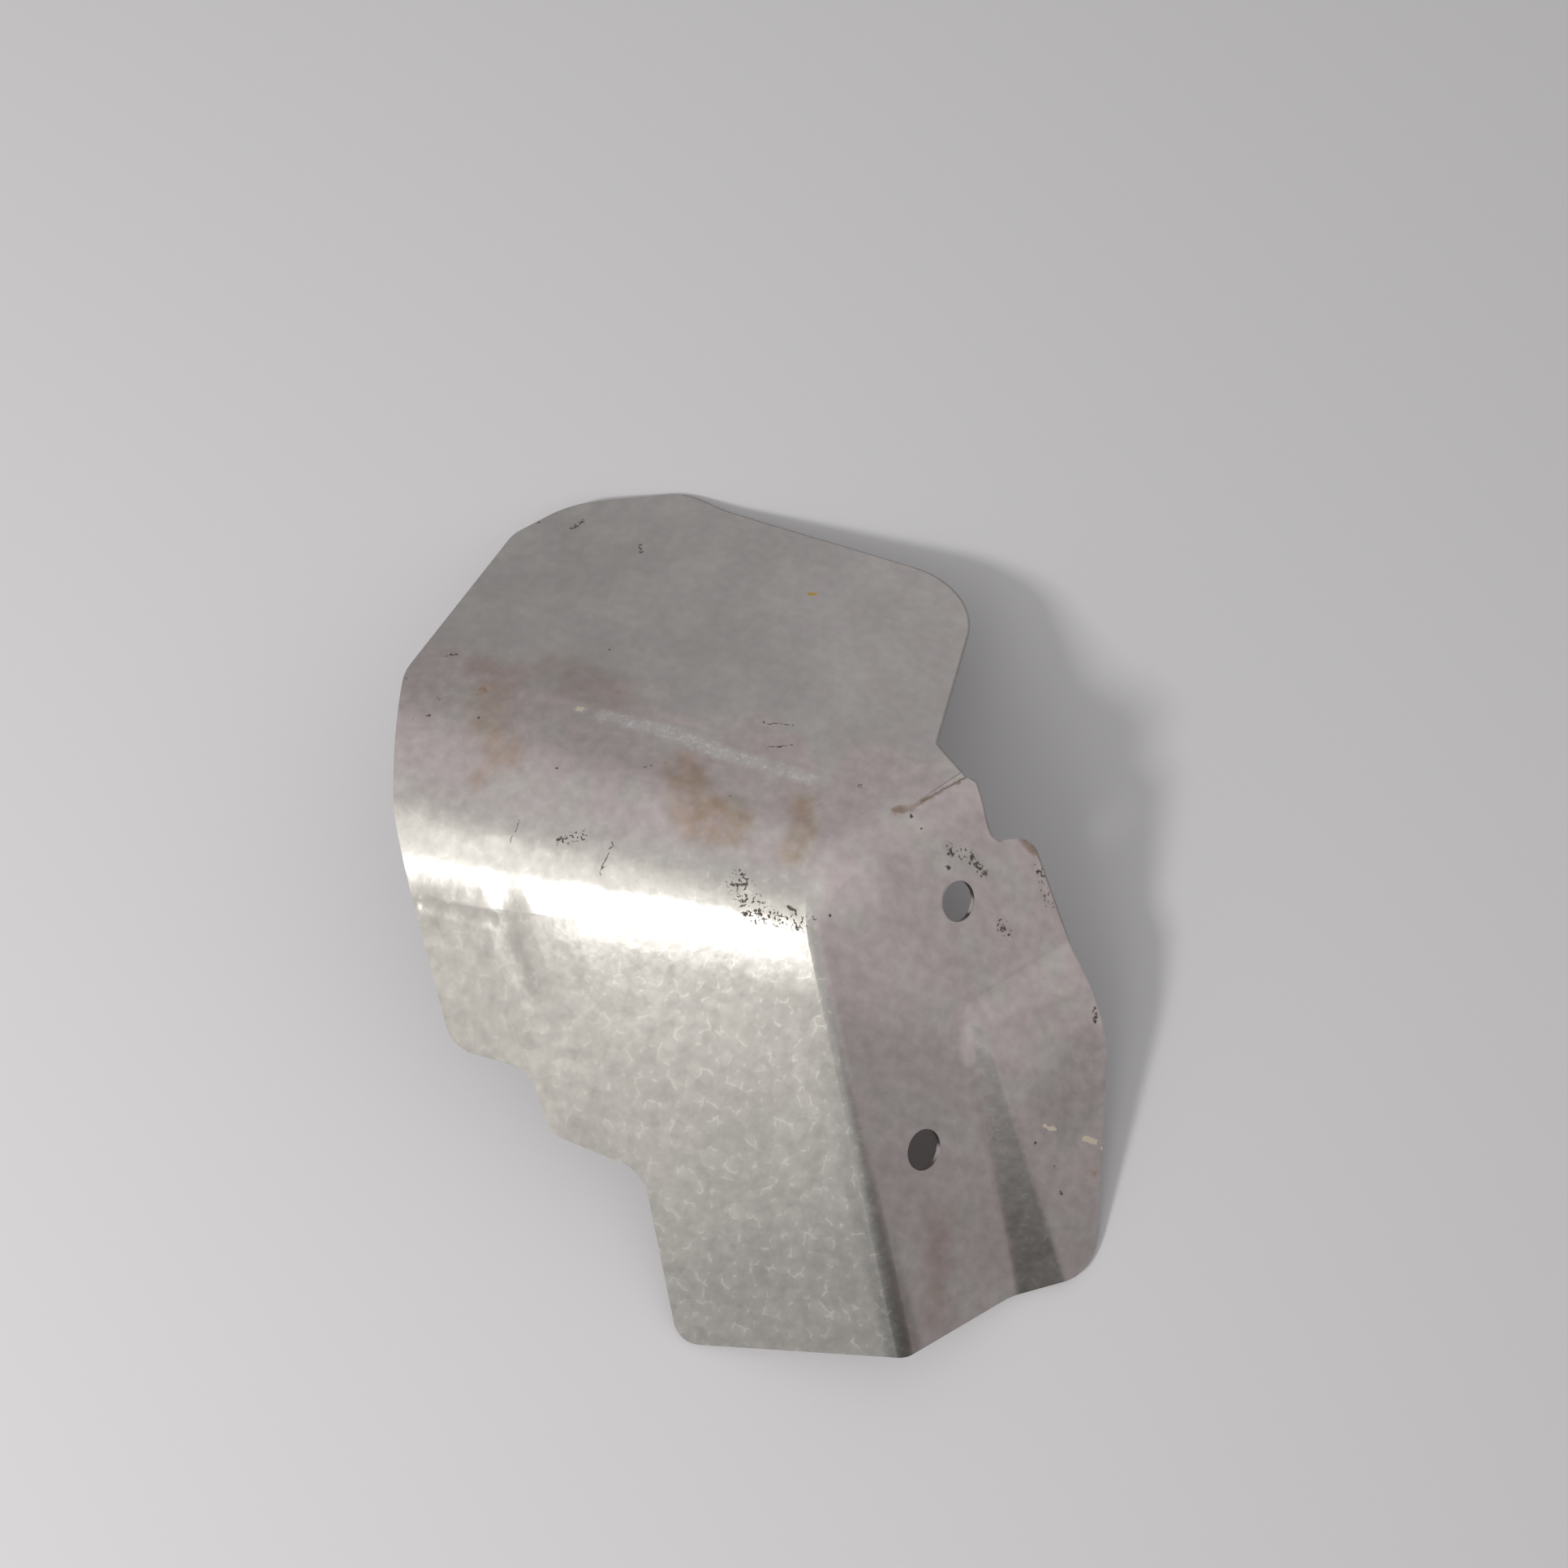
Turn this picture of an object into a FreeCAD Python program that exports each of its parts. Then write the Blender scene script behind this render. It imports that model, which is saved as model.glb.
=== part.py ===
import FreeCAD, Part
import Sketcher
import os
from math import atan2, sin, tan

# Engine mount heat shield: one sheet of aluminised steel, drawn and trimmed in a press.
# An upper and a lower panel meet in a wide tapered bend, and a side flange with two bolt
# holes folds down from both of them. The flange has a joggle, a shallow raised pad, along
# its outer edge, and a pleat creases the drawn corner between the upper panel and the flange.
#
# The sheet is made in the frame of the press, in millimetres: X along the bend, Z along
# the stroke, and the origin at the virtual corner where the planes of the upper panel, the
# lower panel and the flange meet. It is then laid on the ground as it comes to rest.

PART_NAME = "heat_shield"

# Driving dimensions, in millimetres and degrees
SIZES = {
    "sheet_thickness": 0.9,
    # The bend between the panels, wide at its left end and narrow at its right end
    "bend_half_angle": 31.1,
    "bend_radius_left": 38.0,
    "bend_radius_right": 4.0,
    # The side flange: how steep it is, and its turn from the bend's own direction
    "flange_slope": 40.5,
    "flange_skew": 11.5,
    "fold_radius": 4.0,
    "ridge_radius": 9.0,
    # The pleat, a sharp crease that runs from the drawn corner out to the trim line
    "pleat_end_x": 11.4,
    "pleat_end_y": 14.9,
    "pleat_drop": 0.2,
    "pleat_depth": 0.6,
    # The joggle, set out from the fold: along the flange and across it
    "joggle_along": 33.5,
    "joggle_across": 25.4,
    "joggle_height": 1.1,
    "joggle_rise_along": 2.0,
    "joggle_rise_across": 3.0,
    "joggle_side_slope": 22.0,
    "joggle_end_slope": 21.0,
    "joggle_end_skew": 6.0,
    "joggle_radius": 5.0,
    # Two bolt holes, the first set out from the fold and the second from the first
    "hole_diameter": 7.0,
    "hole_along": 14.8,
    "hole_across": 28.9,
    "hole_pitch": 41.7,
    "hole_line_angle": 24.0,
}

# Trim line, seen along the stroke: each corner's place and its rounding
CORNERS = {
    "left_waist": (-67.6, -5.5, 50.0),
    "shoulder": (-75.6, 19.5, 10.0),
    "top_left_side": (-73.0, 58.0, 8.0),
    "top_left_cut": (-66.1, 70.2, 20.0),
    "top_peak": (-46.4, 80.8, 9.0),
    "top_dip": (-36.8, 78.2, 16.0),
    "top_right": (16.2, 73.2, 15.0),
    "notch": (15.2, 31.8, 1.3),
    "pleat_inner": (21.0, 26.6, 0.4),
    "pleat_outer": (23.2, 26.1, 0.9),
    "ear_notch": (28.1, 17.7, 2.3),
    "tab_tip": (34.9, 21.5, 3.1),
    "side_bulge": (57.1, -5.5, 24.0),
    "flange_toe": (65.0, -45.2, 8.5),
    "joggle_dip": (50.6, -53.2, 14.0),
    "fold_toe": (34.7, -67.2, 5.0),
    "panel_toe": (-3.1, -75.1, 4.5),
    "step_low_inner": (-15.0, -49.5, 7.0),
    "step_low_outer": (-31.5, -47.6, 4.5),
    "step_high_inner": (-37.2, -38.6, 6.0),
    "step_high_outer": (-50.7, -38.5, 6.0),
}

# The form is made larger than the trim line all round, and is cut back to it
FORM_MARGIN = 12.0
FORM_SPAN = 3 * max(abs(place) for corner in CORNERS.values() for place in corner[:2]) + 20 * FORM_MARGIN
PAD_MARGIN = 10.0

# The most of a side of the trim line that one corner's rounding may take
ROUNDING_SHARE = 0.49

# The corners the sheet comes to rest on, and how finely its faces are searched for contact
TOES = ("top_peak", "flange_toe", "panel_toe")
CONTACT_DEVIATION = 0.02
CONTACT_STEPS = 6

doc = FreeCAD.newDocument("engine_mount_heat_shield")
sheet = doc.addObject("Spreadsheet::Sheet", "Sizes")


def fill_sheet():
    """Write every driving dimension to a cell of its own, with its name as the alias."""
    rows = dict(SIZES)
    for corner, (x, y, rounding) in CORNERS.items():
        rows[corner + "_x"] = x
        rows[corner + "_y"] = y
        rows[corner + "_round"] = rounding
    for row, (alias, value) in enumerate(rows.items(), start=1):
        sheet.set(f"A{row}", alias)
        sheet.set(f"B{row}", str(value))
        sheet.setAlias(f"B{row}", alias)
    doc.recompute()


def size(alias):
    return float(sheet.get(alias))


def moved(x, y, z, turn="rotationx(0)"):
    """A step of a placement expression: a shift, with a turn about the shifted point."""
    return f"placement(vector({x}; {y}; {z}); {turn})"


# The flange's plane through the virtual corner, turned so that X runs down the fold
FOLD_TURN = (
    "-atan2(cos(Sizes.bend_half_angle) * sin(Sizes.flange_slope)"
    " - sin(Sizes.bend_half_angle) * cos(Sizes.flange_slope) * sin(Sizes.flange_skew);"
    " sin(Sizes.bend_half_angle) * cos(Sizes.flange_skew))"
)
FLANGE = moved(
    0, 0, 0, f"rotationz(-Sizes.flange_skew) * rotationy(Sizes.flange_slope) * rotationz({FOLD_TURN})"
)
UPPER_PANEL = moved(0, 0, 0, "rotationx(-Sizes.bend_half_angle)")
LOWER_PANEL = moved(0, 0, 0, "rotationx(Sizes.bend_half_angle)")
JOGGLE_CORNER = f"{FLANGE} * {moved('Sizes.joggle_along', 'Sizes.joggle_across', 0)}"
JOGGLE_TOP = f"{JOGGLE_CORNER} * " + moved(
    0, 0, "Sizes.joggle_height", "rotationx(Sizes.joggle_rise_across) * rotationy(-Sizes.joggle_rise_along)"
)
JOGGLE_SIDE = f"{JOGGLE_CORNER} * {moved(0, 0, 0, 'rotationx(Sizes.joggle_side_slope)')}"
JOGGLE_END = f"{JOGGLE_CORNER} * " + moved(
    0, 0, 0, "rotationz(Sizes.joggle_end_skew) * rotationy(-Sizes.joggle_end_slope)"
)


# The pleat's crease, set out in the upper panel's plane, with X along it and sinking
PLEAT_RUN_X = "(Sizes.pleat_inner_x - Sizes.pleat_end_x)"
PLEAT_RUN_Y = "((Sizes.pleat_inner_y - Sizes.pleat_end_y) / cos(Sizes.bend_half_angle))"
PLEAT_LENGTH = f"sqrt({PLEAT_RUN_X}^2 + {PLEAT_RUN_Y}^2)"


def slab(name, plane, inset, below=True):
    """A large box with one face on a plane, moved into the sheet by the inset."""
    box = doc.addObject("Part::Box", name)
    box.Length = box.Width = box.Height = FORM_SPAN
    drop = -FORM_SPAN if below else 0
    corner = moved(-FORM_SPAN / 2, -FORM_SPAN / 2, f"{drop} - {inset}")
    box.setExpression("Placement", f"{plane} * {corner}")
    return box


def common(name, shapes):
    result = doc.addObject("Part::MultiCommon", name)
    result.Shapes = shapes
    return result


def cut(name, base, tool):
    result = doc.addObject("Part::Cut", name)
    result.Base = base
    result.Tool = tool
    return result


def fuse(name, base, tool):
    result = doc.addObject("Part::Fuse", name)
    result.Base = base
    result.Tool = tool
    result.Refine = True
    return result


def rounded(name, base, edges):
    """Round edges, given as the edge's number with its radius at each end."""
    result = doc.addObject("Part::Fillet", name)
    result.Base = base
    result.Edges = edges
    doc.recompute()
    return result


def plane_of(expression, inset):
    """The placement of a plane, worked out from its expression."""
    probe = doc.addObject("Part::Feature", "probe")
    probe.setExpression("Placement", f"{expression} * {moved(0, 0, '-' + inset)}")
    doc.recompute()
    placement = probe.Placement
    doc.removeObject(probe.Name)
    return placement


def edges_on(shape, *planes):
    """The numbers of the edges whose ends and middle lie on all the planes."""
    numbers = []
    for number, edge in enumerate(shape.Edges, start=1):
        points = [edge.valueAt(edge.FirstParameter), edge.valueAt(edge.LastParameter)]
        points.append(edge.valueAt((edge.FirstParameter + edge.LastParameter) / 2))
        offsets = [abs(plane.inverse().multVec(point).z) for plane in planes for point in points]
        if max(offsets) < 1e-3:
            numbers.append(number)
    return numbers


def press_form(side, inset):
    """The solid under one face of the sheet. The inset is 0 for the outer face."""
    depth = size("sheet_thickness") if inset != "0" else 0.0
    upper, lower, flange, top, end, ramp = (
        plane_of(plane, inset)
        for plane in (UPPER_PANEL, LOWER_PANEL, FLANGE, JOGGLE_TOP, JOGGLE_END, JOGGLE_SIDE)
    )

    # Two panels that meet in a bend, from the left edge to the flange's toe
    bounds = doc.addObject("Part::Box", f"{side}_bounds")
    bounds.setExpression("Length", f"Sizes.flange_toe_x - Sizes.shoulder_x + {2 * FORM_MARGIN}")
    bounds.setExpression("Width", f"Sizes.top_peak_y - Sizes.panel_toe_y + {2 * FORM_MARGIN}")
    bounds.Height = FORM_SPAN
    bounds.setExpression(
        "Placement",
        moved(f"Sizes.shoulder_x - {FORM_MARGIN}", f"Sizes.panel_toe_y - {FORM_MARGIN}", -0.6 * FORM_SPAN),
    )
    panels = common(
        f"{side}_panels",
        [
            bounds,
            slab(f"{side}_under_upper_panel", UPPER_PANEL, inset),
            slab(f"{side}_under_lower_panel", LOWER_PANEL, inset),
        ],
    )
    doc.recompute()
    ridge = edges_on(panels.Shape, upper, lower)[0]
    first = panels.Shape.Edges[ridge - 1]
    radii = [size("bend_radius_left") - depth, size("bend_radius_right") - depth]
    if first.valueAt(first.FirstParameter).x > first.valueAt(first.LastParameter).x:
        radii.reverse()
    bent = rounded(f"{side}_bent", panels, [(ridge, *radii)])

    # The flange, folded down sharply from the lower panel and softly from the upper one
    folded = cut(f"{side}_folded", bent, slab(f"{side}_over_flange", FLANGE, inset, below=False))
    doc.recompute()
    fold = edges_on(folded.Shape, flange, lower)[0]
    drawn = edges_on(folded.Shape, flange, upper)[0]
    crest = [
        number
        for number in edges_on(folded.Shape, flange)
        if folded.Shape.Edges[number - 1].Curve.TypeId == "Part::GeomBSplineCurve"
    ][0]
    sharp = size("fold_radius") - depth
    soft = size("ridge_radius") - depth
    drawn_form = rounded(
        f"{side}_drawn",
        folded,
        [(fold, sharp, sharp), (crest, sharp, soft), (drawn, soft, soft)],
    )

    # The pleat, a crease with square sides that is deepest at the trim line
    crease = doc.addObject("Part::Box", f"{side}_crease")
    crease.setExpression("Length", f"2 * {PLEAT_LENGTH}")
    crease.Width = crease.Height = FORM_MARGIN
    place = moved(
        "Sizes.pleat_end_x",
        "Sizes.pleat_end_y / cos(Sizes.bend_half_angle)",
        f"-Sizes.pleat_drop - {inset}",
    )
    heading = f"rotationz(atan2({PLEAT_RUN_Y}; {PLEAT_RUN_X}))"
    fall = f"rotationy(atan2(Sizes.pleat_depth; {PLEAT_LENGTH}))"
    turn = moved(0, 0, 0, f"{heading} * {fall} * rotationx(45)")
    crease.setExpression("Placement", f"{UPPER_PANEL} * {place} * {turn}")
    creased = cut(f"{side}_creased", drawn_form, crease)

    # The joggle, a pad that rises from the flange by a side ramp and an end ramp
    region = doc.addObject("Part::Box", f"{side}_pad_region")
    region.Length = region.Width = FORM_SPAN
    region.Height = 4 * PAD_MARGIN
    region.setExpression(
        "Placement", f"{JOGGLE_CORNER} * {moved(-PAD_MARGIN, -PAD_MARGIN, -2 * PAD_MARGIN)}"
    )
    pad = common(
        f"{side}_pad",
        [
            region,
            slab(f"{side}_under_pad", JOGGLE_TOP, inset),
            slab(f"{side}_under_side_ramp", JOGGLE_SIDE, inset),
            slab(f"{side}_under_end_ramp", JOGGLE_END, inset),
            bounds,
        ],
    )
    doc.recompute()
    brow = size("joggle_radius") - depth
    brow_edges = [
        number
        for pair in ((top, ramp), (top, end), (ramp, end))
        for number in edges_on(pad.Shape, *pair)
    ]
    smooth_pad = rounded(f"{side}_smooth_pad", pad, [(number, brow, brow) for number in brow_edges])
    joggled = fuse(f"{side}_joggled", creased, smooth_pad)
    doc.recompute()
    foot = size("joggle_radius") + depth
    foot_edges = edges_on(joggled.Shape, flange, ramp) + edges_on(joggled.Shape, flange, end)
    return rounded(f"{side}_form", joggled, [(number, foot, foot) for number in foot_edges])


def trim_line(name):
    """A closed sketch of the trim line, with each corner's place and rounding bound."""
    sketch = doc.addObject("Sketcher::SketchObject", name)
    names = list(CORNERS)
    points = [FreeCAD.Vector(size(corner + "_x"), size(corner + "_y"), 0) for corner in names]
    count = len(points)
    starts, ends, arcs, turns_left, limits = [], [], [], [], []
    for index, point in enumerate(points):
        back = points[index - 1] - point
        ahead = points[(index + 1) % count] - point
        room = ROUNDING_SHARE * min(back.Length, ahead.Length)
        half_angle = back.getAngle(ahead) / 2
        limits.append(room * tan(half_angle))
        radius = min(size(names[index] + "_round"), limits[-1])
        back.normalize()
        ahead.normalize()
        reach = radius / tan(half_angle)
        centre = point + (back + ahead).normalize() * (radius / sin(half_angle))
        start = point + back * reach
        end = point + ahead * reach
        left = back.cross(ahead).z < 0
        first, last = (start, end) if left else (end, start)
        first_angle = atan2(first.y - centre.y, first.x - centre.x)
        last_angle = atan2(last.y - centre.y, last.x - centre.x)
        circle = Part.Circle(centre, FreeCAD.Vector(0, 0, 1), radius)
        arcs.append(Part.ArcOfCircle(circle, first_angle, last_angle))
        starts.append(start)
        ends.append(end)
        turns_left.append(left)
    lines = [Part.LineSegment(ends[index], starts[(index + 1) % count]) for index in range(count)]
    sketch.addGeometry(lines + arcs)
    sketch.addGeometry([Part.Point(point) for point in points], True)
    constraints = []
    for index in range(count):
        line, line_before = index, (index - 1) % count
        arc, corner = count + index, 2 * count + index
        arc_in, arc_out = (1, 2) if turns_left[index] else (2, 1)
        constraints += [
            Sketcher.Constraint("Tangent", line_before, 2, arc, arc_in),
            Sketcher.Constraint("Tangent", arc, arc_out, line, 1),
            Sketcher.Constraint("PointOnObject", corner, 1, line_before),
            Sketcher.Constraint("PointOnObject", corner, 1, line),
            Sketcher.Constraint("DistanceX", -1, 1, corner, 1, points[index].x),
            Sketcher.Constraint("DistanceY", -1, 1, corner, 1, points[index].y),
            Sketcher.Constraint("Radius", arc, arcs[index].Radius),
        ]
    sketch.addConstraint(constraints)
    per_corner = len(constraints) // count
    for index, corner in enumerate(names):
        for step, part in enumerate(("_x", "_y", "_round"), start=per_corner - 3):
            sketch.renameConstraint(per_corner * index + step, corner + part)
        sketch.setExpression(f"Constraints.{corner}_x", f"Sizes.{corner}_x")
        sketch.setExpression(f"Constraints.{corner}_y", f"Sizes.{corner}_y")
        sketch.setExpression(f"Constraints.{corner}_round", f"min(Sizes.{corner}_round; {limits[index]})")
    return sketch


def bolt_hole(name, along, across):
    """A drill through the flange, set out from the fold."""
    drill = doc.addObject("Part::Cylinder", name)
    drill.setExpression("Radius", "Sizes.hole_diameter / 2")
    drill.setExpression("Height", "Sizes.sheet_thickness * 6")
    drill.setExpression("Placement", f"{FLANGE} * {moved(along, across, 'Sizes.sheet_thickness * -3')}")
    return drill


def resting_place(shape):
    """The placement that lays the sheet on its three toes, its middle over the origin."""
    toes = [FreeCAD.Vector(size(toe + "_x"), size(toe + "_y"), 0) for toe in TOES]
    groups = [[] for toe in toes]
    for point in shape.tessellate(CONTACT_DEVIATION)[0]:
        spans = [(FreeCAD.Vector(point.x, point.y, 0) - toe).Length for toe in toes]
        groups[spans.index(min(spans))].append(point)
    up = FreeCAD.Vector(0, 0, 1)
    for step in range(CONTACT_STEPS):
        first, second, third = (min(group, key=up.dot) for group in groups)
        up = (second - first).cross(third - first).normalize()
        up = up if up.z > 0 else -up
    turn = FreeCAD.Rotation(up, FreeCAD.Vector(0, 0, 1))
    laid = shape.copy()
    laid.Placement = FreeCAD.Placement(FreeCAD.Vector(), turn)
    box = laid.optimalBoundingBox()
    return FreeCAD.Placement(-FreeCAD.Vector(box.Center.x, box.Center.y, box.ZMin), turn)


fill_sheet()
outer = press_form("outer", "0")
inner = press_form("inner", "Sizes.sheet_thickness")

# The pressed sheet is what lies between the two forms, inside the trim line
trim = doc.addObject("Part::Extrusion", "trim")
trim.Base = trim_line("trim_line")
trim.Dir = FreeCAD.Vector(0, 0, 1)
trim.LengthFwd = FORM_SPAN / 5
trim.LengthRev = FORM_SPAN / 5
trim.Solid = True
trimmed = common("trimmed", [outer, trim])
pressed = cut("pressed", trimmed, inner)

upper_hole = bolt_hole("upper_hole", "Sizes.hole_along", "Sizes.hole_across")
lower_hole = bolt_hole(
    "lower_hole",
    "Sizes.hole_along + Sizes.hole_pitch * cos(Sizes.hole_line_angle)",
    "Sizes.hole_across - Sizes.hole_pitch * sin(Sizes.hole_line_angle)",
)
holes = doc.addObject("Part::MultiFuse", "holes")
holes.Shapes = [upper_hole, lower_hole]
heat_shield = cut(PART_NAME, pressed, holes)
heat_shield.Label = PART_NAME
doc.recompute()
heat_shield.Placement = resting_place(heat_shield.Shape)
doc.recompute()

for item in doc.Objects:
    if "Invalid" in item.State or "Error" in item.State:
        raise RuntimeError(f"{item.Name} did not build: {item.State}")
if heat_shield.Shape.isNull() or not heat_shield.Shape.isValid():
    raise RuntimeError(f"{PART_NAME} has no valid shape")
if len(heat_shield.Shape.Solids) != 1:
    raise RuntimeError(f"{PART_NAME} is not one solid")

os.makedirs("parts", exist_ok=True)
heat_shield.Shape.exportStep(f"parts/{PART_NAME}.step")
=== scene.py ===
from math import radians

import bpy
from mathutils import Matrix, Quaternion, Vector

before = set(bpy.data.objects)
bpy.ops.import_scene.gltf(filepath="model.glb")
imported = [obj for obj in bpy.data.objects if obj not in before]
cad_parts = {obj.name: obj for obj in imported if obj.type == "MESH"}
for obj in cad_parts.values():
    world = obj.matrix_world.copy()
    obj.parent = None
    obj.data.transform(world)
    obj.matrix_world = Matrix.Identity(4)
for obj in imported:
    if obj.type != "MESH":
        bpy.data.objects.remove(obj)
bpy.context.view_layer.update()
scene = bpy.context.scene
scene.view_settings.view_transform = "Standard"

MM = 0.001

# The press frame that the sheet was designed in: its turn and place in the part's frame
PRESS_TURN = Quaternion((0.997171, 0.031146, -0.068409, 0.0))
PRESS_ORIGIN = Vector((0.968, -5.878, 50.212)) * MM


def from_press(direction):
    """A direction of the press frame, turned into the part's frame."""
    return PRESS_TURN @ Vector(direction).normalized()


# Directions: along the press's stroke, to the front, to the right, to the side whose rims get painted
# shade, and up
STROKE = from_press((0.0, 0.0, 1.0))
FRONT = from_press((0.0, -1.0, 0.0))
RIGHT = from_press((1.0, 0.0, 0.0))
SHADED_RIM_SIDE = from_press((0.85, 0.45, 0.0))
UP = Vector((0.0, 0.0, 1.0))


class Tree:
    """Short ways to add nodes to a node tree and to link them."""

    def __init__(self, tree):
        self.nodes = tree.nodes
        self.links = tree.links

    def add(self, kind, **settings):
        node = self.nodes.new(kind)
        for name, value in settings.items():
            setattr(node, name, value)
        return node

    def feed(self, socket, value):
        if isinstance(value, bpy.types.NodeSocket):
            self.links.new(value, socket)
        else:
            socket.default_value = value

    def feed_all(self, node, **values):
        for name, value in values.items():
            self.feed(node.inputs[name.replace("_", " ")], value)

    def math(self, operation, *values):
        node = self.add("ShaderNodeMath", operation=operation)
        for socket, value in zip(node.inputs, values):
            self.feed(socket, value)
        return node.outputs["Value"]

    def plus(self, first, second):
        return self.math("ADD", first, second)

    def times(self, first, second):
        return self.math("MULTIPLY", first, second)

    def pair(self, operation, first, second):
        """A node that works on two vectors."""
        node = self.add("ShaderNodeVectorMath", operation=operation)
        self.feed(node.inputs[0], first)
        self.feed(node.inputs[1], second)
        return node

    def vector(self, operation, first, second):
        return self.pair(operation, first, second).outputs["Vector"]

    def dot(self, first, second):
        return self.pair("DOT_PRODUCT", first, second).outputs["Value"]

    def distance(self, first, second):
        return self.pair("DISTANCE", first, second).outputs["Value"]

    def scaled(self, vector, factor):
        node = self.add("ShaderNodeVectorMath", operation="SCALE")
        self.feed(node.inputs[0], vector)
        self.feed(node.inputs["Scale"], factor)
        return node.outputs["Vector"]

    def ramp(self, value, start, end, low=0.0, high=1.0):
        """A smooth step from low to high as the value goes from start to end."""
        node = self.add("ShaderNodeMapRange", interpolation_type="SMOOTHSTEP")
        self.feed_all(node, Value=value, From_Min=start, From_Max=end, To_Min=low, To_Max=high)
        return node.outputs["Result"]

    def blend(self, share, under, over, mode="MIX"):
        """One colour over another; a colour is a socket or three numbers."""
        node = self.add("ShaderNodeMix", data_type="RGBA", blend_type=mode)
        colours = [s for s in node.inputs if s.type == "RGBA"]
        self.feed(node.inputs[0], share)
        for socket, colour in zip(colours, (under, over)):
            self.feed(socket, colour if isinstance(colour, bpy.types.NodeSocket) else (*colour, 1.0))
        return next(s for s in node.outputs if s.type == "RGBA")

    def noise(self, place, scale, detail):
        node = self.add("ShaderNodeTexNoise", noise_dimensions="2D")
        self.feed_all(node, Vector=place, Scale=scale, Detail=detail)
        return node.outputs[0]

    def total(self, operation, values):
        """One operation run over a list of values."""
        result = values[0]
        for value in values[1:]:
            result = self.math(operation, result, value)
        return result


# Camera, as the photograph was taken: nearly from above, a little from the front
IMAGE_SIDE = 1932
FOCAL_PIXELS = 1937.0
SENSOR_WIDTH = 36.0
NEAREST_SEEN = 0.01
CAMERA_PLACE = Vector((-14.293, -74.187, 284.959)) * MM
CAMERA_RIGHT = Vector((0.959611, 0.252965, 0.123126))
CAMERA_UP = Vector((-0.279174, 0.910598, 0.304778))


def add_camera():
    data = bpy.data.cameras.new("camera")
    data.sensor_width = SENSOR_WIDTH
    data.lens = SENSOR_WIDTH * FOCAL_PIXELS / IMAGE_SIDE
    data.clip_start = NEAREST_SEEN
    camera = bpy.data.objects.new("camera", data)
    scene.collection.objects.link(camera)
    back = CAMERA_RIGHT.cross(CAMERA_UP)
    turn = Matrix((CAMERA_RIGHT, CAMERA_UP, back)).transposed()
    camera.matrix_world = Matrix.Translation(CAMERA_PLACE) @ turn.to_4x4()
    scene.camera = camera


# A broad lamp at the front left, and a small one beside it that isn't seen in reflections
LAMPS = (
    # name, direction of the press frame, distance, width and height in metres, roll in degrees,
    # watts, and whether it is seen in reflections
    ("key", (-0.188, -0.622, 0.760), 2.5, 1.00, 0.56, -44.0, 4.75, True),
    ("side", (-0.43, -0.55, 0.72), 0.8, 0.10, 0.10, 0.0, 4.1, False),
)
# The room: its walls, its ceiling, and how steeply up a direction points where one turns into the other
ROOM_WALLS = (0.414, 0.414, 0.414)
ROOM_CEILING = (0.624, 0.624, 0.624)
CEILING_RISE = (0.3, 0.95)
# Soft patches of the room: direction of the press frame, where each starts and is full, and its colour
ROOM_PATCHES = (
    ((-0.40, -0.52, 0.755), 0.79, 0.90, (0.744, 0.732, 0.708)),
    ((-0.38, -0.39, 0.84), 0.925, 1.0, (1.28, 1.27, 1.24)),
    ((0.80, 0.40, 0.45), 0.78, 1.0, (0.53, 0.525, 0.525)),
    ((0.90, -0.43, 0.05), 0.88, 0.975, (0.312, 0.312, 0.312)),
    ((0.62, -0.78, 0.10), 0.80, 0.94, (0.07, 0.07, 0.066)),
    ((-0.60, 0.80, 0.10), 0.80, 1.0, (0.36, 0.36, 0.36)),
    ((0.30, 0.95, 0.10), 0.86, 1.0, (0.50, 0.495, 0.495)),
)


def add_lamp(name, toward, distance, width, height, roll, watts, mirrored):
    data = bpy.data.lights.new(name, "AREA")
    data.shape = "RECTANGLE"
    data.size = width
    data.size_y = height
    data.energy = watts
    lamp = bpy.data.objects.new(name, data)
    scene.collection.objects.link(lamp)
    direction = from_press(toward)
    lamp.location = direction * distance
    lamp.visible_glossy = mirrored
    turn = direction.to_track_quat("Z", "Y") @ Quaternion(UP, radians(roll))
    lamp.rotation_euler = turn.to_euler()


def add_room():
    world = bpy.data.worlds.new("room")
    world.use_nodes = True
    tree = Tree(world.node_tree)
    direction = tree.add("ShaderNodeTexCoord").outputs["Generated"]
    rise = tree.ramp(tree.dot(direction, UP), *CEILING_RISE)
    colour = tree.blend(rise, ROOM_WALLS, ROOM_CEILING)
    for toward, start, full, shade in ROOM_PATCHES:
        share = tree.ramp(tree.dot(direction, from_press(toward)), start, full)
        colour = tree.blend(share, colour, shade)
    tree.feed(tree.nodes["Background"].inputs["Color"], colour)
    scene.world = world


FLOOR_REACH = 3.0
FLOOR_COLOUR = (0.54, 0.53, 0.54)
FLOOR_ROUGHNESS = 0.7


def add_floor():
    mesh = bpy.data.meshes.new("floor")
    corners = [(x * FLOOR_REACH, y * FLOOR_REACH, 0.0) for x, y in ((-1, -1), (1, -1), (1, 1), (-1, 1))]
    mesh.from_pydata(corners, [], [(0, 1, 2, 3)])
    floor = bpy.data.objects.new("floor", mesh)
    scene.collection.objects.link(floor)
    material = bpy.data.materials.new("floor")
    material.use_nodes = True
    shader = material.node_tree.nodes["Principled BSDF"]
    shader.inputs["Base Color"].default_value = (*FLOOR_COLOUR, 1.0)
    shader.inputs["Roughness"].default_value = FLOOR_ROUGHNESS
    mesh.materials.append(material)


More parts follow.
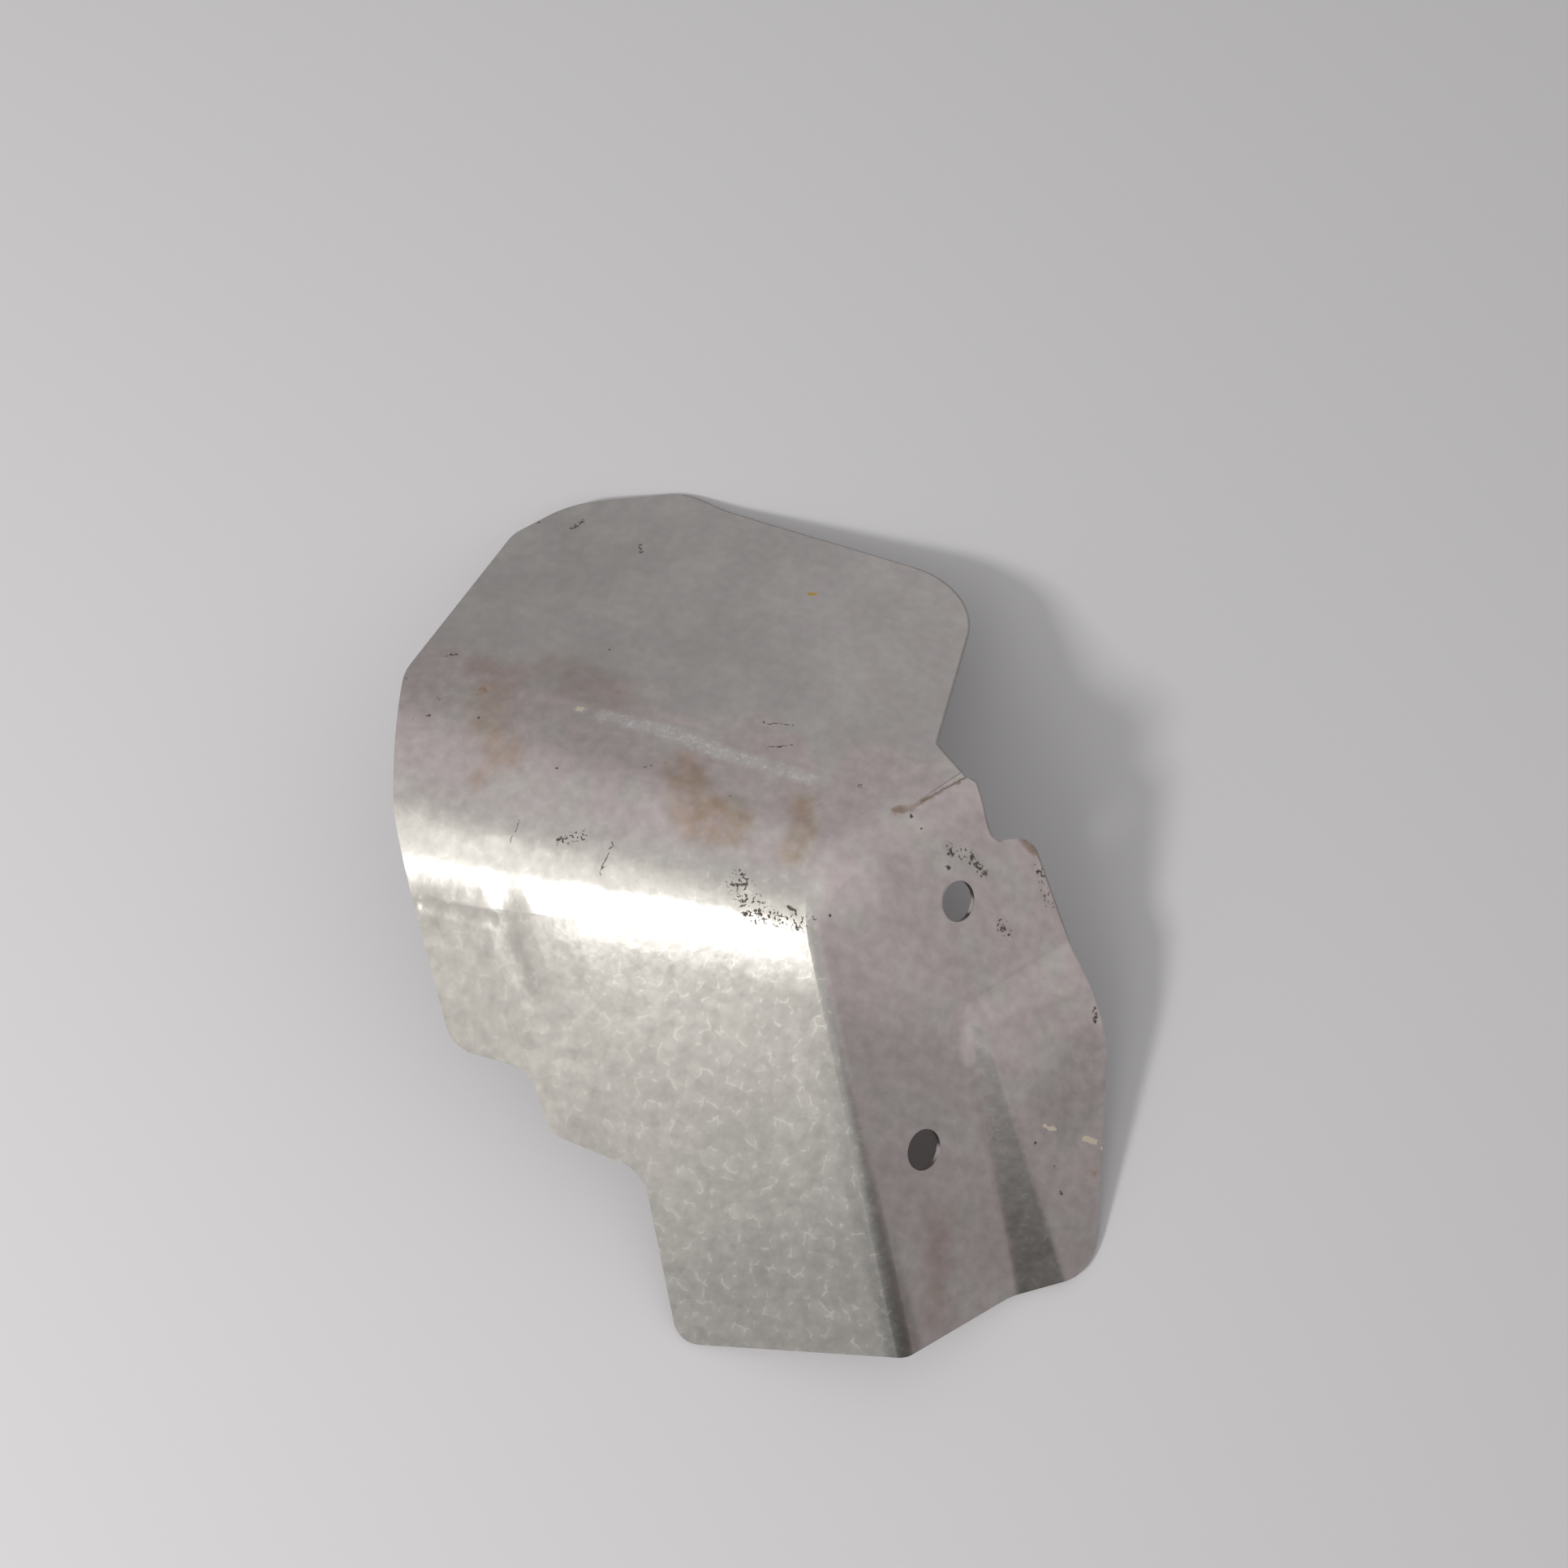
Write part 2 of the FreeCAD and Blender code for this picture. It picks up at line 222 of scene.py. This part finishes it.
# Colours of the coating, and of what lies on it
UPPER_GREY = (0.615, 0.577, 0.562)
CROWN_GREY = (0.679, 0.592, 0.585)
LOWER_GREY = (0.638, 0.612, 0.575)
BROWN_TINT = (0.82, 0.71, 0.57)
PALE_TINT = (0.90, 0.82, 0.72)
DUSKY_TINT = (0.88, 0.80, 0.77)
SCUFF_PALE = (0.88, 0.87, 0.85)
FLECK_PALE = (0.86, 0.85, 0.80)
RUST_BROWN = (0.20, 0.115, 0.065)
CHIP_TAN = (0.52, 0.45, 0.35)
SPOT_YELLOW = (0.42, 0.26, 0.07)
DIRT_DARK = (0.075, 0.062, 0.050)
EDGE_DARK = (0.12, 0.11, 0.10)

# Marks on the outer face, in millimetres of the press frame as seen along its stroke.
# A speck has a place and a reach. A line runs between two points, with a reach to each side and a fade.
SPECKS = (
    # dirt caught along the crown, near the flange
    (-9.4, -2.1, 0.35), (-9.2, -5.3, 0.35), (-8.5, -6.0, 0.30), (-7.5, -7.7, 0.50), (-6.2, -7.0, 0.25),
    (-5.3, -7.4, 0.45), (-3.3, -6.6, 0.30), (-2.0, -7.6, 0.25), (1.0, -7.7, 0.55), (3.3, -5.8, 0.30),
    (5.4, -4.6, 0.25), (-15.2, 10.4, 0.25),
    # the wide end of the bend
    (-67.6, 15.8, 0.30), (-67.9, 11.9, 0.35), (-59.8, 13.8, 0.30), (-43.9, 8.1, 0.25),
    (-39.6, -3.5, 0.40), (-38.8, -3.2, 0.35), (-36.2, -2.1, 0.35), (-74.5, 17.8, 0.40),
    # the upper panel
    (-69.9, 62.7, 0.30), (-44.9, 35.1, 0.20), (-14.4, 27.5, 0.25), (4.6, 19.0, 0.40),
    # the flange, mostly round the upper bolt hole
    (21.9, 13.2, 0.65), (21.2, 12.5, 0.35), (21.9, 10.4, 0.35), (33.6, 5.0, 0.55), (37.6, 16.5, 0.60),
    (16.2, 14.4, 0.25), (14.0, 15.9, 0.30), (55.0, -34.0, 0.40), (52.7, -30.3, 0.25),
    (48.1, -27.3, 0.25),
)
# The share of a speck's reach that is full, and the length over which it fades
SPECK_SHARE = 0.75
SPECK_FADE = 0.22
DIRT_LINES = (
    ((-10.8, -3.9), (-8.2, -3.5), 0.10, 0.25), ((-1.4, -5.1), (0.5, -5.9), 0.20, 0.25),
    ((-70.7, 25.0), (-69.2, 25.9), 0.20, 0.25), ((-62.2, 65.8), (-63.3, 63.2), 0.35, 0.35),
    ((-49.4, 63.0), (-48.7, 61.2), 0.25, 0.25), ((25.4, 13.7), (28.2, 12.2), 0.30, 0.35),
    ((53.3, -2.0), (54.0, -3.9), 0.25, 0.30),
    # thin scratches
    ((-12.2, 22.2), (-8.4, 24.0), 0.04, 0.22), ((-30.4, 12.1), (-29.0, 13.0), 0.04, 0.20),
    ((-28.0, 13.9), (-26.9, 14.2), 0.04, 0.20), ((-14.5, 27.1), (-9.0, 28.4), 0.02, 0.18),
    ((-46.9, -2.1), (-47.3, -6.0), 0.01, 0.15), ((-31.0, -2.0), (-31.8, -7.3), 0.01, 0.15),
)
CRUMBS = (
    ((-10.0, -3.0), (-6.0, -7.0), 1.2, 1.5), ((-6.0, -7.2), (1.5, -7.0), 0.6, 1.2),
    ((21.5, 13.5), (25.0, 13.5), 0.6, 1.0), ((25.0, 13.5), (28.0, 12.0), 0.5, 0.9),
    ((33.0, 5.5), (34.3, 4.6), 0.6, 1.0), ((37.0, 17.0), (38.2, 16.2), 0.5, 0.8),
    ((-39.6, -3.5), (-36.0, -2.0), 0.5, 1.0), ((37.6, 16.4), (41.0, 12.0), 0.4, 0.8),
)
# Heat tints: the brown ones in the middle and at the right of the bend, the paler one at its left end,
# and the dusky ones at the foot of the upper panel and of the flange
BROWN_STAINS = (
    ((-23.5, 13.5), (-18.5, 5.5), 0.8, 5.6), ((-19.5, 6.5), (-14.5, 6.0), 2.0, 4.4),
    ((-4.0, 13.0), (-1.9, 6.5), 0.0, 4.2), ((-1.9, 6.5), (-2.8, 3.4), 0.0, 3.8),
)
PALE_STAINS = (
    ((-60.0, 18.5), (-57.5, 12.5), 1.5, 4.0), ((-57.5, 12.5), (-52.5, 8.0), 1.0, 4.0),
    ((-54.0, 7.0), (-55.6, 3.0), 0.0, 3.5),
)
DUSKY_STAINS = (
    ((-64.0, 25.0), (-58.0, 24.0), 0.5, 4.5), ((-52.0, 28.0), (-40.4, 25.0), 1.0, 6.0),
    ((35.0, -44.0), (37.6, -59.0), 0.5, 3.5),
)
STAINS = ((BROWN_STAINS, BROWN_TINT), (PALE_STAINS, PALE_TINT), (DUSKY_STAINS, DUSKY_TINT))
RUST = (
    ((11.2, 15.9), (13.6, 17.2), 0.2, 1.0), ((13.6, 17.2), (21.1, 26.1), 0.10, 0.5),
    ((33.0, 20.2), (36.3, 19.2), 0.1, 0.9), ((59.0, -29.3), (60.2, -29.0), 0.3, 0.9),
    ((-61.8, 19.8), (-61.0, 19.4), 0.2, 0.7),
)
YELLOW_SPOT = (((-15.2, 60.6), (-14.2, 60.8), 0.4, 0.3),)
SCUFFS = (
    ((-44.8, 20.6), (-44.2, 20.6), 0.2, 0.6), ((-40.2, 20.5), (-29.9, 20.4), 0.3, 1.8),
    ((-29.9, 20.4), (-19.2, 18.9), 0.5, 2.0), ((-19.2, 18.9), (-3.9, 18.0), 0.3, 1.8),
)
CHIPS = (
    ((49.1, -24.1), (51.0, -24.0), 0.20, 0.25), ((56.8, -23.8), (59.2, -23.7), 0.20, 0.25),
    ((60.8, -24.4), (60.9, -24.5), 0.25, 0.20), ((-44.8, 20.6), (-44.4, 20.6), 0.20, 0.30),
)
DULL_PATCH = (((40.0, -9.0), (52.0, -2.0), 2.0, 8.0),)
# Painted highlights and painted shade: a line as above, and by what share the coating there is brighter
PAINTED_LIGHT_AND_SHADE = (
    # painted highlights on the apex of the fold and at the top of the pad's side ramp
    (((5.0, -2.0), (9.0, 1.5), 0.5, 6.0), 0.30),
    (((31.5, -13.4), (33.0, -18.0), 0.0, 1.8), 0.35),
    # painted shade on the raised pad, and in the dent of the lower panel
    (((52.0, -20.0), (55.0, -12.0), 3.0, 6.0), -0.17),
    (((-47.0, -11.0), (-43.5, -20.4), 0.5, 2.4), -0.10),
    (((-43.5, -20.4), (-39.0, -26.5), 0.3, 2.4), -0.10),
)

# Slight forms of the face: lines as above
CREASE = (((-59.1, -18.3), (-47.8, -18.1), 0.1, 1.5),)
DENT = (((-48.5, -8.0), (-43.5, -20.4), 0.2, 3.6), ((-43.5, -20.4), (-38.4, -26.8), 0.2, 3.6))
BULGE = (((-38.0, -22.0), (-33.0, -21.0), 0.5, 7.0),)
PAD_FOOT = (((34.4, -5.8), (46.5, 7.8), 0.0, 3.0),)
PAD_BROW = (((37.7, -9.5), (52.0, 2.5), 0.0, 7.0),)
WASHER_MARK = (((33.1, -28.5), (34.8, -32.3), 0.1, 0.4), ((34.8, -32.3), (35.0, -35.4), 0.1, 0.4))
PLEAT_FOLDS = (((7.3, 18.8), (15.0, 25.7), 0.1, 1.8), ((15.0, 25.7), (18.8, 28.2), 0.1, 1.8))
# Each form, and how far it stands out in millimetres
FORMS = (
    (CREASE, -0.055), (DENT, -0.08), (BULGE, 0.04), (PAD_FOOT, 0.10), (PAD_BROW, -0.35),
    (WASHER_MARK, 0.02), (PLEAT_FOLDS, -0.04),
)
# Waves of the pressing and fine grain: cells per millimetre, detail and height in millimetres
WAVES = ((0.06, 0.0, 0.08), (0.7, 2.0, 0.005))
# Spangle of the coating: its cells, how smooth they are, and their height in millimetres
SPANGLES_PER_MM = 0.65
SPANGLE_SMOOTHNESS = 0.3
SPANGLE_HEIGHT = 0.006
# Slack of the tight fold's foot, growing toward the toe, and of the wide bend, all in millimetres
FOLD_FOOT = (((6.0, -14.0), (35.0, -68.0), 0.0, 3.8),)
FOOT_GROWS = (-18.0, -62.0)
FOOT_HEIGHT = -0.43
BEND_SLACK_ACROSS = (-2.0, -18.0)
BEND_SLACK_ALONG = (-62.0, -30.0)
BEND_SLACK_HEIGHT = 0.35

# Patterns of noise: cells per millimetre, detail, where the step starts and ends, and its two values
CLOUD = (0.06, 2.0, 0.3, 0.7, 0.96, 1.04)
DRIFT = (0.12, 3.0, 0.45, 0.70, 0.0, 0.6)
CROWN_WANDER = (0.1, 2.0, 0.2, 0.8, -4.0, 4.0)
STAIN_PATCHES = (0.3, 3.0, 0.25, 0.7, 0.45, 1.0)
SCUFF_FLECKS = (1.0, 3.0, 0.53, 0.65, 0.0, 0.5)
FLAKE_RUNS = (0.45, 2.0, 0.53, 0.66, 0.0, 1.0)
DIRT_GAPS = (1.6, 1.0, 0.38, 0.52, 0.0, 1.0)
CRUMB_GRAINS = (1.7, 2.0, 0.57, 0.63, 0.0, 1.0)
ROUGHNESS = (0.2, 2.0, 0.3, 0.7, 0.15, 0.20)
NOISE_MIDDLE = 0.5
# Fine grain of the colour: cells per millimetre, detail, and its strength on the upper panel and the crown
GRAIN = (0.45, 6.0)
GRAIN_STRENGTH = (0.22, 0.40)
# The warmer crown: where it ends on the upper panel and how softly, in millimetres
CROWN_EDGE = 26.0
CROWN_FADE = 4.0
# Ragged outlines: cells per millimetre, detail, and how far an outline wanders in millimetres
RAGGED_NOISE = (0.9, 1.0)
RAGGED_REACH = 0.8
# Lifted flakes of the lower panel: their number, their bright rims and how these thin out to the left,
# and how strongly the flakes' shades and the rims show
FLAKES_PER_MM = 0.42
FLAKE_RIM = (0.02, 0.11)
FLAKE_SPREAD = (-45.0, 10.0, 0.3, 1.0)
FLAKE_SHADE = 0.10
FLECK_SHARE = 0.7
# The share of a mark that shows, what it adds to the roughness, and how far grime hides the metal
SCUFF_SHARE = 0.5
RUST_SHARE = 0.8
RUST_GRIME = 0.7
SCUFF_ROUGHNESS = 0.15
DULL_ROUGHNESS = 0.30
GRIME_ROUGHNESS = 0.45
GRIME_COVER = 0.9

# How far a face looks along a direction, 1 being straight along it: where a mask starts and is full
OUTER_FACING = (0.25, 0.40)
WALL_FACING = (0.20, 0.35)
FRONT_FACING = (-0.20, 0.25)
SIDE_FACING = (0.25, 0.45)
# Painted shade on the rims that face right and back, away from the lamps: its width in millimetres
# and how finely it is sampled, how far the rounded edge leans that way, and where it sets in behind the
# bend's middle
EDGE_WIDTH = 0.7
EDGE_SAMPLES = 3
SHADED_RIM_LEAN = (0.02, 0.14)
SHADED_RIM_FROM = (0.0, 12.0)
# The share of the edge's dark colour on the trimmed edge itself
WALL_SHARE = 0.5


def mark_group():
    """A node group: how far a place is inside a mark that runs from a start to an end."""
    group = bpy.data.node_groups.new("mark", "ShaderNodeTree")
    for name in ("Place", "Start", "End"):
        group.interface.new_socket(name, in_out="INPUT", socket_type="NodeSocketVector")
    for name in ("Reach", "Fade"):
        group.interface.new_socket(name, in_out="INPUT", socket_type="NodeSocketFloat")
    group.interface.new_socket("Mask", in_out="OUTPUT", socket_type="NodeSocketFloat")
    tree = Tree(group)
    given = tree.add("NodeGroupInput").outputs
    run = tree.vector("SUBTRACT", given["End"], given["Start"])
    away = tree.vector("SUBTRACT", given["Place"], given["Start"])
    share = tree.add("ShaderNodeClamp")
    tree.feed_all(share, Value=tree.math("DIVIDE", tree.dot(away, run), tree.dot(run, run)))
    distance = tree.distance(away, tree.scaled(run, share.outputs["Result"]))
    outside = tree.plus(given["Reach"], given["Fade"])
    mask = tree.ramp(distance, given["Reach"], outside, 1.0, 0.0)
    tree.feed(tree.add("NodeGroupOutput").inputs["Mask"], mask)
    return group


class SheetTree(Tree):
    """The nodes of the sheet's material, with places in millimetres as seen along the stroke."""

    def __init__(self, tree, group):
        super().__init__(tree)
        self.group = group
        mapping = self.add("ShaderNodeMapping", vector_type="TEXTURE")
        self.feed_all(mapping, Vector=self.add("ShaderNodeTexCoord").outputs["Object"])
        self.feed_all(mapping, Location=PRESS_ORIGIN, Rotation=PRESS_TURN.to_euler(), Scale=(MM, MM, MM))
        self.plan = self.vector("MULTIPLY", mapping.outputs["Vector"], (1.0, 1.0, 0.0))
        wander = self.add("ShaderNodeTexNoise", noise_dimensions="2D")
        scale, detail = RAGGED_NOISE
        self.feed_all(wander, Vector=self.plan, Scale=scale, Detail=detail)
        shift = self.vector("SUBTRACT", wander.outputs["Color"], (NOISE_MIDDLE,) * 3)
        shift = self.vector("MULTIPLY", shift, (RAGGED_REACH, RAGGED_REACH, 0.0))
        self.ragged = self.vector("ADD", self.plan, shift)

    def split(self, axis):
        """One of the plan's coordinates."""
        node = self.add("ShaderNodeSeparateXYZ")
        self.feed(node.inputs[0], self.plan)
        return node.outputs[axis]

    def line(self, start, end, reach, fade, place):
        node = self.add("ShaderNodeGroup", node_tree=self.group)
        self.feed_all(node, Place=place, Start=(*start, 0.0), End=(*end, 0.0), Reach=reach, Fade=fade)
        return node.outputs["Mask"]

    def stroke(self, rows):
        """A mask of marks with a ragged outline."""
        return self.total("MAXIMUM", [self.line(*row, self.ragged) for row in rows])

    def fold(self, rows):
        """A mask of marks with a smooth outline."""
        return self.total("MAXIMUM", [self.line(*row, self.plan) for row in rows])

    def specks(self, rows):
        """A mask of the specks, from how far a place is outside the nearest one."""
        outside = []
        for x, y, reach in rows:
            distance = self.distance(self.ragged, (x, y, 0.0))
            outside.append(self.math("SUBTRACT", distance, reach * SPECK_SHARE))
        return self.ramp(self.total("MINIMUM", outside), 0.0, SPECK_FADE, 1.0, 0.0)

    def noise_step(self, scale, detail, start, end, low, high):
        return self.ramp(self.noise(self.plan, scale, detail), start, end, low, high)


def flakes(tree):
    """Patches of the lifted coating: the shade of each, and a mask of the bright rims of some."""
    patch = tree.add("ShaderNodeTexVoronoi", voronoi_dimensions="2D")
    border = tree.add("ShaderNodeTexVoronoi", voronoi_dimensions="2D", feature="DISTANCE_TO_EDGE")
    for cells in (patch, border):
        tree.feed_all(cells, Vector=tree.ragged, Scale=FLAKES_PER_MM)
    shade = tree.math("SUBTRACT", tree.dot(patch.outputs["Color"], (1.0, 0.0, 0.0)), NOISE_MIDDLE)
    rim = tree.ramp(border.outputs["Distance"], *FLAKE_RIM, 1.0, 0.0)
    spread = tree.ramp(tree.split("X"), *FLAKE_SPREAD)
    return shade, tree.total("MULTIPLY", [rim, tree.noise_step(*FLAKE_RUNS), spread])


def coating_colour(tree, lower):
    """The coating: greys of the panels and the crown, grain, flakes on the lower panel, and painted
    highlights and painted shade.
    """
    across = tree.plus(tree.split("Y"), tree.noise_step(*CROWN_WANDER))
    crown = tree.ramp(across, CROWN_EDGE + CROWN_FADE, CROWN_EDGE - CROWN_FADE)
    colour = tree.blend(crown, UPPER_GREY, CROWN_GREY)
    colour = tree.blend(tree.noise_step(*DRIFT), colour, LOWER_GREY)
    colour = tree.blend(lower, colour, LOWER_GREY)

    shade, fleck = flakes(tree)
    grain = tree.math("SUBTRACT", tree.noise(tree.plan, *GRAIN), NOISE_MIDDLE)
    grain = tree.times(grain, tree.ramp(crown, 0.0, 1.0, *GRAIN_STRENGTH))
    tone = tree.plus(grain, tree.times(tree.times(shade, lower), FLAKE_SHADE))
    # painted highlights and painted shade
    for row, share in PAINTED_LIGHT_AND_SHADE:
        tone = tree.plus(tone, tree.times(tree.fold([row]), share))
    colour = tree.scaled(colour, tree.times(tree.noise_step(*CLOUD), tree.plus(1.0, tone)))
    return tree.blend(tree.times(tree.times(fleck, lower), FLECK_SHARE), colour, FLECK_PALE)


def sheet_colour(tree, outer, lower, rim):
    """The coating's colour with all that marks it, painted highlights and painted shade among them, and
    the masks of its scuffs and its grime.
    """
    colour = coating_colour(tree, lower)
    patchy = tree.times(tree.noise_step(*STAIN_PATCHES), outer)
    for stains, tint in STAINS:
        share = tree.times(tree.stroke(stains), patchy)
        colour = tree.blend(share, colour, tint, "MULTIPLY")
    flecks = tree.times(tree.noise_step(*SCUFF_FLECKS), outer)
    scuff = tree.plus(tree.times(patchy, SCUFF_SHARE), flecks)
    scuff = tree.times(tree.stroke(SCUFFS), scuff)
    colour = tree.blend(scuff, colour, SCUFF_PALE)
    rust = tree.times(tree.stroke(RUST), patchy)
    colour = tree.blend(tree.times(rust, RUST_SHARE), colour, RUST_BROWN)
    chips = tree.times(tree.stroke(CHIPS), outer)
    colour = tree.blend(chips, colour, CHIP_TAN)
    yellow = tree.times(tree.stroke(YELLOW_SPOT), outer)
    colour = tree.blend(yellow, colour, SPOT_YELLOW)
    dirt = tree.math("MAXIMUM", tree.specks(SPECKS), tree.stroke(DIRT_LINES))
    dirt = tree.times(dirt, tree.noise_step(*DIRT_GAPS))
    crumbs = tree.times(tree.stroke(CRUMBS), tree.noise_step(*CRUMB_GRAINS))
    dirt = tree.times(tree.math("MAXIMUM", dirt, crumbs), outer)
    colour = tree.blend(dirt, colour, DIRT_DARK)
    # the darker trimmed edge, and painted shade on the rims that face away from the lamps
    colour = tree.blend(rim, colour, EDGE_DARK)
    grime = tree.total("MAXIMUM", [dirt, yellow, chips, tree.times(rust, RUST_GRIME)])
    return colour, scuff, grime


def sheet_height(tree):
    """The face's height in millimetres: spangle, waves of the pressing, slight forms and slack."""
    spangle = tree.add("ShaderNodeTexVoronoi", voronoi_dimensions="2D", feature="SMOOTH_F1")
    tree.feed_all(spangle, Vector=tree.ragged, Scale=SPANGLES_PER_MM, Smoothness=SPANGLE_SMOOTHNESS)
    height = tree.times(spangle.outputs["Distance"], SPANGLE_HEIGHT)
    for scale, detail, rise in WAVES:
        height = tree.plus(height, tree.times(tree.noise(tree.plan, scale, detail), rise))
    for rows, rise in FORMS:
        height = tree.plus(height, tree.times(tree.fold(rows), rise))
    foot = tree.times(tree.fold(FOLD_FOOT), tree.ramp(tree.split("Y"), *FOOT_GROWS))
    height = tree.plus(height, tree.times(foot, FOOT_HEIGHT))
    slack = tree.ramp(tree.split("Y"), *BEND_SLACK_ACROSS)
    slack = tree.times(slack, tree.ramp(tree.split("X"), *BEND_SLACK_ALONG))
    return tree.plus(height, tree.times(slack, BEND_SLACK_HEIGHT))


def rim_mask(tree, normal, facing):
    """A mask of the trimmed edge, and of painted shade on the rims that face away from the lamps."""
    wall = tree.ramp(tree.math("ABSOLUTE", facing), *WALL_FACING, 1.0, 0.0)
    rounded = tree.add("ShaderNodeBevel", samples=EDGE_SAMPLES)
    tree.feed_all(rounded, Radius=EDGE_WIDTH * MM)
    lean = tree.vector("SUBTRACT", rounded.outputs["Normal"], normal)
    # painted shade on the rims that lean away from the lamps
    shaded_rims = tree.ramp(tree.dot(lean, SHADED_RIM_SIDE), *SHADED_RIM_LEAN)
    shaded_rims = tree.times(shaded_rims, tree.ramp(tree.split("Y"), *SHADED_RIM_FROM))
    return tree.math("MAXIMUM", shaded_rims, tree.times(wall, WALL_SHARE))


def sheet_material():
    material = bpy.data.materials.new("aluminised_steel")
    material.use_nodes = True
    tree = SheetTree(material.node_tree, mark_group())
    normal = tree.add("ShaderNodeNewGeometry").outputs["True Normal"]
    facing = tree.dot(normal, STROKE)
    outer = tree.ramp(facing, *OUTER_FACING)
    frontward = tree.ramp(tree.dot(normal, FRONT), *FRONT_FACING)
    sideways = tree.ramp(tree.dot(normal, RIGHT), *SIDE_FACING)
    lower = tree.times(frontward, tree.math("SUBTRACT", 1.0, sideways))
    rim = rim_mask(tree, normal, facing)
    colour, scuff, grime = sheet_colour(tree, outer, lower, rim)

    roughness = tree.noise_step(*ROUGHNESS)
    dull = tree.fold(DULL_PATCH)
    for mask, added in ((scuff, SCUFF_ROUGHNESS), (dull, DULL_ROUGHNESS), (grime, GRIME_ROUGHNESS)):
        roughness = tree.plus(roughness, tree.times(mask, added))
    bump = tree.add("ShaderNodeBump")
    tree.feed_all(bump, Height=sheet_height(tree), Distance=MM, Strength=1.0)

    shader = tree.nodes["Principled BSDF"]
    tree.feed_all(shader, Base_Color=colour, Roughness=roughness, Normal=bump.outputs["Normal"])
    tree.feed_all(shader, Metallic=tree.math("SUBTRACT", 1.0, tree.times(grime, GRIME_COVER)))
    return material


add_camera()
for lamp in LAMPS:
    add_lamp(*lamp)
add_room()
add_floor()
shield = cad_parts["heat_shield"]
shield.data.materials.clear()
shield.data.materials.append(sheet_material())
